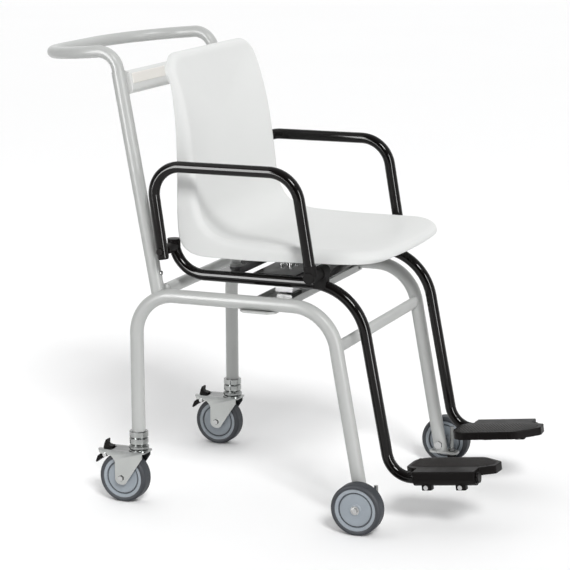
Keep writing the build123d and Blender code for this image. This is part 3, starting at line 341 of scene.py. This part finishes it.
def seat_outline():
    """The seat's outline laid flat: (x, distance from the top, outward x, outward along)."""
    top_x = seat_half_width(TOP_CORNER) - TOP_CORNER
    front_x = seat_half_width(RIM_LENGTH - FRONT_CORNER) - FRONT_CORNER
    straight = RIM_LENGTH - TOP_CORNER - FRONT_CORNER
    quarter = [math.radians(90.0 * step / CORNER_STEPS) for step in range(CORNER_STEPS + 1)]
    loop = [(top_x * (step / EDGE_STEPS), 0.0, 0.0, -1.0) for step in range(EDGE_STEPS)]
    loop += [(top_x + TOP_CORNER * math.sin(a), TOP_CORNER * (1 - math.cos(a)), math.sin(a), -math.cos(a))
             for a in quarter]
    for step in range(1, SIDE_STEPS):
        along = TOP_CORNER + straight * step / SIDE_STEPS
        loop.append((seat_half_width(along), along, 1.0, 0.0))
    loop += [(front_x + FRONT_CORNER * math.cos(a), RIM_LENGTH - FRONT_CORNER + FRONT_CORNER * math.sin(a),
              math.cos(a), math.sin(a)) for a in quarter]
    loop += [(front_x * (1 - step / EDGE_STEPS), RIM_LENGTH, 0.0, 1.0) for step in range(1, EDGE_STEPS)]
    half = [(x, along - front_bow(x, along), out_x, out_along)
            for x, along, out_x, out_along in loop + [(0.0, RIM_LENGTH, 0.0, 1.0)]]
    return half + [(-x, along, -out_x, out_along) for x, along, out_x, out_along in reversed(half[1:-1])]


def on_seat(x, y, z):
    """Seat coordinates in millimetres to world metres."""
    return (x / 1000.0, LEG_Y + y / 1000.0, z / 1000.0)


def face_point(share, x, along):
    """A point on the sitter's side, from the seat's spine at share 0 to the start of the rim at 1."""
    middle = clamp(along, SPINE_INSET, RIM_LENGTH - SPINE_INSET)
    along = middle + (along - middle) * share
    (y, z), (ty, tz) = rim_frame(along)
    sunk = spline(DISH, rim_position(along))[0] * (1.0 - share ** DISH_POWER)
    return on_seat(x * share, y - tz * sunk, z + ty * sunk)


def rim_point(angle, x, along, out_x, out_along):
    """A point on the rounded rim, which turns from the sitter's side over to the skirt."""
    (y, z), (ty, tz) = rim_frame(along)
    push, drop = RIM_ROUND * math.sin(angle), RIM_ROUND * (1.0 - math.cos(angle))
    return on_seat(x + out_x * push, y + ty * out_along * push - tz * drop,
                   z + tz * out_along * push + ty * drop)


def turn_to_sitter(mesh):
    """The open shell has no outside of its own, so the back rest's face is made to look forwards."""
    cleaner = bmesh.new()
    cleaner.from_mesh(mesh)

    def height_in_middle(face):
        centre = face.calc_center_median()
        return centre.z - 10 * abs(centre.x) - 5 * centre.y

    if max(cleaner.faces, key=height_in_middle).normal.y > 0:
        bmesh.ops.reverse_faces(cleaner, faces=cleaner.faces)
    cleaner.to_mesh(mesh)
    cleaner.free()


def seat():
    outline = seat_outline()
    inner = [(x - out_x * RIM_ROUND, along - out_along * RIM_ROUND, out_x, out_along)
             for x, along, out_x, out_along in outline]
    rings = [[face_point(share, x, along) for x, along, _, _ in inner] for share in FACE_SHARES]
    for step in range(1, ROUND_STEPS + 1):
        angle = math.radians(90.0 * step / ROUND_STEPS)
        rings.append([rim_point(angle, *row) for row in inner])
    rim_edge = rings[-1]
    hem = [on_seat(x, *spline(SKIRT, rim_position(along))) for x, along, _, _ in outline]
    for share in SKIRT_SHARES:
        rings.append([tuple(s + (g - s) * share for s, g in zip(start, goal))
                      for start, goal in zip(rim_edge, hem)])
    points = [point for ring in rings for point in ring]
    made = piece("seat", points, ring_faces(0, len(rings), len(outline), capped=False), "seat_plastic")
    turn_to_sitter(made.data)
    wall = made.modifiers.new("wall", "SOLIDIFY")
    wall.thickness = SHELL_WALL
    wall.offset = -1.0
    wall.use_quality_normals = True
    rounding = made.modifiers.new("rounding", "SUBSURF")
    rounding.levels = rounding.render_levels = 1
    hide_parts("seat_shell")


# ---- turned pieces: seat bosses, upright studs, closed ends of the rear cross tube -------------------
BOSS_PROFILE = [(0.0088, 0.0), (0.0090, 0.0004), (0.0098, 0.006), (0.0120, 0.020), (0.0145, 0.034),
                (0.0180, 0.0415), (0.0190, 0.0425)]
BOSS_X = 0.12
PAD_INSET = 0.012
PAD_GAP = 0.0001
STUD_PROFILE = [(0.0046, 0.0008), (0.0046, -0.0020), (0.0040, -0.0028), (0.0022, -0.0032)]
STUD_X, STUD_Y, STUD_Z = 0.221, LEG_Y - 0.0508, 0.465
TUBE_END_PROFILE = [(0.0104, -0.0006), (0.0106, -0.0003), (0.0106, 0.0003), (0.0104, 0.0006)]
TUBE_END_INSET = 0.0009


def turned_pieces():
    pad_low, pad_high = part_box("seat_pads")
    bosses = [(x, y, pad_high[2] + PAD_GAP) for x in (-BOSS_X, BOSS_X)
              for y in (pad_low[1] + PAD_INSET, pad_high[1] - PAD_INSET)]
    lathe("seat_bosses", BOSS_PROFILE, bosses, "seat_plastic")
    studs = [(-STUD_X, STUD_Y, STUD_Z), (STUD_X, STUD_Y, STUD_Z)]
    lathe("upright_studs", STUD_PROFILE, studs, "bright_steel", axis=1, steps=24)
    low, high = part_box("rear_cross_tube")
    y, z = (low[1] + high[1]) / 2, (low[2] + high[2]) / 2
    ends = [(low[0] + TUBE_END_INSET, y, z), (high[0] - TUBE_END_INSET, y, z)]
    lathe("cross_tube_ends", TUBE_END_PROFILE, ends, "frame_paint", axis=0, steps=36)


# ---- footplates: raised diagonal tread ribs, in millimetres ----------------------------------------
TILT = math.radians(6.6)
TUBE_TO_TREAD = 0.022
RUN_START = (LEG_Y - 0.51545 - TUBE_TO_TREAD * math.cos(TILT), 0.0944 + TUBE_TO_TREAD * math.sin(TILT))
FOOTREST_X = 190.0
TREAD_TOP = 15.0
TREAD = [(22, 30), (32, 7), (87, 7), (87, 145), (56, 174), (32, 169), (22, 146)]
RIB_SLOPE = math.radians(32.0)
RIB_PITCH = 6.2
RIB_ROWS = range(-14, 40)
RIB_SECTION = [(-1.7, -0.4), (-1.25, 0.55), (-0.6, 0.8), (0.6, 0.8), (1.25, 0.55), (1.7, -0.4)]
RIB_TAPER = [(0.0, 0.2), (1.2, 0.85), (2.4, 1.0)]
SHORTEST_RIB = 4.0


def on_tread(side, inward, along, up):
    """Footplate coordinates in millimetres, from the sleeve's axis, to world metres."""
    return (side * (FOOTREST_X - inward) / 1000.0,
            RUN_START[0] - along / 1000.0 * math.cos(TILT) + up / 1000.0 * math.sin(TILT),
            RUN_START[1] + along / 1000.0 * math.sin(TILT) + up / 1000.0 * math.cos(TILT))


def clip_line(polygon, point, direction):
    """Where a line runs inside a convex polygon, as its two line positions."""
    low, high = -1e9, 1e9
    for (ax, ay), (bx, by) in zip(polygon, polygon[1:] + polygon[:1]):
        edge = (bx - ax, by - ay)
        speed = edge[0] * direction[1] - edge[1] * direction[0]
        gap = edge[0] * (point[1] - ay) - edge[1] * (point[0] - ax)
        if abs(speed) < 1e-9:
            if gap < 0:
                return None
        elif speed > 0:
            low = max(low, -gap / speed)
        else:
            high = min(high, -gap / speed)
    return (low, high) if high - low > SHORTEST_RIB else None


def tread_ribs(side_name, side):
    direction = (math.cos(RIB_SLOPE), math.sin(RIB_SLOPE))
    points, faces = [], []
    for step in RIB_ROWS:
        start = (0.0, step * RIB_PITCH)
        span = clip_line(TREAD, start, direction)
        if not span:
            continue
        low, high = span
        stations = [(low + run, share) for run, share in RIB_TAPER]
        stations += [(high - run, share) for run, share in reversed(RIB_TAPER)]
        faces += ring_faces(len(points), len(stations), len(RIB_SECTION))
        for at, share in stations:
            for across, height in RIB_SECTION:
                inward = start[0] + direction[0] * at - direction[1] * across * share
                along = start[1] + direction[1] * at + direction[0] * across * share
                lift = height * share if height > 0 else height
                points.append(on_tread(side, inward, along, TREAD_TOP + lift))
    piece(f"{side_name}_tread_ribs", points, faces, "black_plastic", f"{side_name}_footplate_body",
          look=TREAD_PLASTIC)


# ---- read-out: digit panel, digits and trim plate, in millimetres ------------------------------------
LEAN = math.atan(0.18)
HOUSING = (LEG_Y + 0.02842, 0.829)
PANEL_DEPTHS = (15.602, 15.66)
DIGIT_DEPTHS = (15.7, 15.95)
PANEL_HALF_WIDTH, PANEL_HALF_HEIGHT = 44, 10
DIGIT_CENTRES = (14.0, 30.0)
DIGIT_HALF_WIDTH, DIGIT_HALF_HEIGHT = 3.3, 6.6
BAR_LENGTH, BAR_HALF = 6.0, 0.9
POINT_X = 22.0
TRIM_SECTIONS = ((206, -3, 17, -20.0), (205.4, -2.4, 16.4, -20.7), (204.6, -1.6, 15.6, -20.9))


def on_housing(across, up, depth):
    """Housing coordinates in millimetres (across is the operator's right) to world metres."""
    return (-across / 1000.0,
            HOUSING[0] + up / 1000.0 * math.sin(LEAN) + depth / 1000.0 * math.cos(LEAN),
            HOUSING[1] + up / 1000.0 * math.cos(LEAN) - depth / 1000.0 * math.sin(LEAN))


def slab(points, faces, outline, depths):
    """Adds a flat slab over an outline between two depths."""
    faces += ring_faces(len(points), 2, len(outline))
    points += [on_housing(x, y, depth) for depth in depths for x, y in outline]


def digit_bar(x, y, stands):
    """One six-sided bar of a seven-segment digit."""
    tip, shoulder = BAR_LENGTH / 2, BAR_LENGTH / 2 - BAR_HALF
    bar = [(-tip, 0), (-shoulder, BAR_HALF), (shoulder, BAR_HALF), (tip, 0), (shoulder, -BAR_HALF),
           (-shoulder, -BAR_HALF)]
    if stands:
        bar = [(-b, a) for a, b in bar]
    return [(x + a, y + b) for a, b in bar]


def digits():
    """Two noughts with a point between them."""
    points, faces = [], []
    for centre in DIGIT_CENTRES:
        for y in (DIGIT_HALF_HEIGHT, -DIGIT_HALF_HEIGHT):
            slab(points, faces, digit_bar(centre, y, False), DIGIT_DEPTHS)
        for y in (DIGIT_HALF_HEIGHT / 2, -DIGIT_HALF_HEIGHT / 2):
            for x in (centre - DIGIT_HALF_WIDTH, centre + DIGIT_HALF_WIDTH):
                slab(points, faces, digit_bar(x, y, True), DIGIT_DEPTHS)
    angles = [step * math.pi / 6 for step in range(12)]
    point = [(POINT_X + BAR_HALF * math.cos(a), BAR_HALF * math.sin(a) - DIGIT_HALF_HEIGHT) for a in angles]
    slab(points, faces, point, DIGIT_DEPTHS)
    piece("digits", points, faces, "black_plastic", smooth=False)


def digit_panel():
    points, faces = [], []
    x, y = PANEL_HALF_WIDTH, PANEL_HALF_HEIGHT
    slab(points, faces, [(-x, -y), (x, -y), (x, y), (-x, y)], PANEL_DEPTHS)
    piece("digit_panel", points, faces, "housing_plastic", smooth=False, look=DIGIT_PANEL_GREY)


def housing_trim():
    """A raised tinted plate with bevelled edges on the housing's seat side."""
    points = []
    for half, bottom, top, depth in TRIM_SECTIONS:
        corners = ((-half, bottom), (half, bottom), (half, top), (-half, top))
        points += [on_housing(x, y, depth) for x, y in corners]
    piece("housing_trim", points, ring_faces(0, len(TRIM_SECTIONS), 4), "housing_plastic", smooth=False,
          look=TRIM_TINT)


# ---- camera, light and stage ---------------------------------------------------------------------
CAMERA_AZIMUTH, CAMERA_ELEVATION, CAMERA_ROLL = (math.radians(a) for a in (-67.36, 11.68, -0.31))
CAMERA_PLACE = (-4.0796, LEG_Y - 1.9217, 1.3288)
FLOOR_REACH = 45.0
WALL_STEPS, WALL_RADIUS, WALL_FOOT, WALL_TOP = 64, 40.0, -1.0, 30.0
WALL_GLOW = 0.9
WORLD_STRENGTHS = (0.02, 1.13)
SUN_STRENGTH, SUN_ANGLE, SUN_DIRECTION = 2.2, math.radians(16.0), Vector((0.61, 0.465, -0.64))
# name, place, width, height, power, and whether the lamp shows only as a highlight line on gloss
LAMPS = (
    ("strip_left", (-2.0, 0.95, 1.10), 0.7, 1.5, 80.0, True),
    ("strip_right", (-1.3, -2.2, 1.00), 0.45, 1.6, 55.0, True),
    ("back", (1.6, 2.6, 2.8), 1.8, 1.8, 8.0, False),
    ("top", (-0.7, 1.0, 2.1), 1.2, 1.2, 4.0, False),
)
LAMP_AIM_HEIGHT = 0.4


def in_scene(name, data):
    made = bpy.data.objects.new(name, data)
    bpy.context.scene.collection.objects.link(made)
    return made


def camera():
    """A long lens at the photograph's angle, with its small roll."""
    back = Vector((math.sin(CAMERA_AZIMUTH) * math.cos(CAMERA_ELEVATION),
                   -math.cos(CAMERA_AZIMUTH) * math.cos(CAMERA_ELEVATION), math.sin(CAMERA_ELEVATION)))
    level = (-back).cross(Vector((0, 0, 1))).normalized()
    upright = level.cross(-back)
    right = level * math.cos(CAMERA_ROLL) + upright * math.sin(CAMERA_ROLL)
    up = upright * math.cos(CAMERA_ROLL) - level * math.sin(CAMERA_ROLL)
    made = in_scene("camera", bpy.data.cameras.new("camera"))
    made.matrix_world = Matrix((*zip(right, up, back, CAMERA_PLACE), (0, 0, 0, 1)))
    made.data.sensor_width = 36.0
    made.data.lens = 142.35
    made.data.shift_x = -0.00096
    made.data.shift_y = -0.00346
    made.data.clip_end = 60.0
    bpy.context.scene.view_settings.view_transform = "Standard"
    bpy.context.scene.camera = made


def stage_piece(name, points, faces, look):
    mesh = bpy.data.meshes.new(name)
    mesh.from_pydata(points, [], faces)
    mesh.materials.append(look)
    made = in_scene(name, mesh)
    return made


def stage():
    """A pale floor, and far round it a pale wall that only the camera sees."""
    r = FLOOR_REACH
    stage_piece("floor", [(-r, -r, 0), (r, -r, 0), (r, r, 0), (-r, r, 0)], [(0, 1, 2, 3)],
                surface("floor", (0.97, 0.97, 0.972), 0.004, 1.0, (0.7, 0.8), 6.0,
                        grain=(60.0, 0.02, 0.0005)))
    glow = surface("backdrop", (0.9, 0.9, 0.9), 0.004, 1.0, (0.7, 0.8), 6.0, grain=(60.0, 0.02, 0.0005))
    shader = glow.node_tree.nodes["Principled BSDF"]
    shader.inputs["Emission Color"].default_value = (1.0, 1.0, 1.0, 1.0)
    shader.inputs["Emission Strength"].default_value = WALL_GLOW
    turns = [2 * math.pi * step / WALL_STEPS for step in range(WALL_STEPS)]
    wall = stage_piece("backdrop", [(WALL_RADIUS * math.cos(turn), WALL_RADIUS * math.sin(turn), z)
                                    for z in (WALL_FOOT, WALL_TOP) for turn in turns],
                       ring_faces(0, 2, WALL_STEPS, capped=False), glow)
    wall.visible_diffuse = wall.visible_glossy = wall.visible_transmission = wall.visible_shadow = False


def world():
    """Soft light all round, strong from the left side (+X) and faint from the right."""
    made = bpy.data.worlds.new("studio")
    made.use_nodes = True
    tree = made.node_tree
    background = tree.nodes["Background"]
    background.inputs["Color"].default_value = (1.0, 1.0, 1.0, 1.0)
    split = node(tree, "ShaderNodeSeparateXYZ")
    tree.links.new(node(tree, "ShaderNodeTexCoord").outputs["Generated"], split.inputs["Vector"])
    fade = node(tree, "ShaderNodeMapRange")
    fade.inputs["From Min"].default_value = -1.0
    fade.inputs["To Min"].default_value, fade.inputs["To Max"].default_value = WORLD_STRENGTHS
    tree.links.new(split.outputs["X"], fade.inputs["Value"])
    tree.links.new(fade.outputs["Result"], background.inputs["Strength"])
    bpy.context.scene.world = made


def lights():
    sun = bpy.data.lights.new("key", "SUN")
    sun.energy = SUN_STRENGTH
    sun.angle = SUN_ANGLE
    in_scene("key", sun).rotation_euler = SUN_DIRECTION.to_track_quat("-Z", "Y").to_euler()
    for name, place, width, height, power, gloss_only in LAMPS:
        light = bpy.data.lights.new(name, "AREA")
        light.shape = "RECTANGLE"
        light.size = width
        light.size_y = height
        light.energy = power
        lamp = in_scene(name, light)
        lamp.location = place
        lamp.visible_diffuse = not gloss_only
        aim = Vector((0, 0, place[2] if gloss_only else LAMP_AIM_HEIGHT))
        lamp.rotation_euler = (aim - Vector(place)).to_track_quat("-Z", "Y").to_euler()


seat()
turned_pieces()
for side_name, side in SIDES:
    tread_ribs(side_name, side)
digits()
digit_panel()
housing_trim()
camera()
stage()
world()
lights()
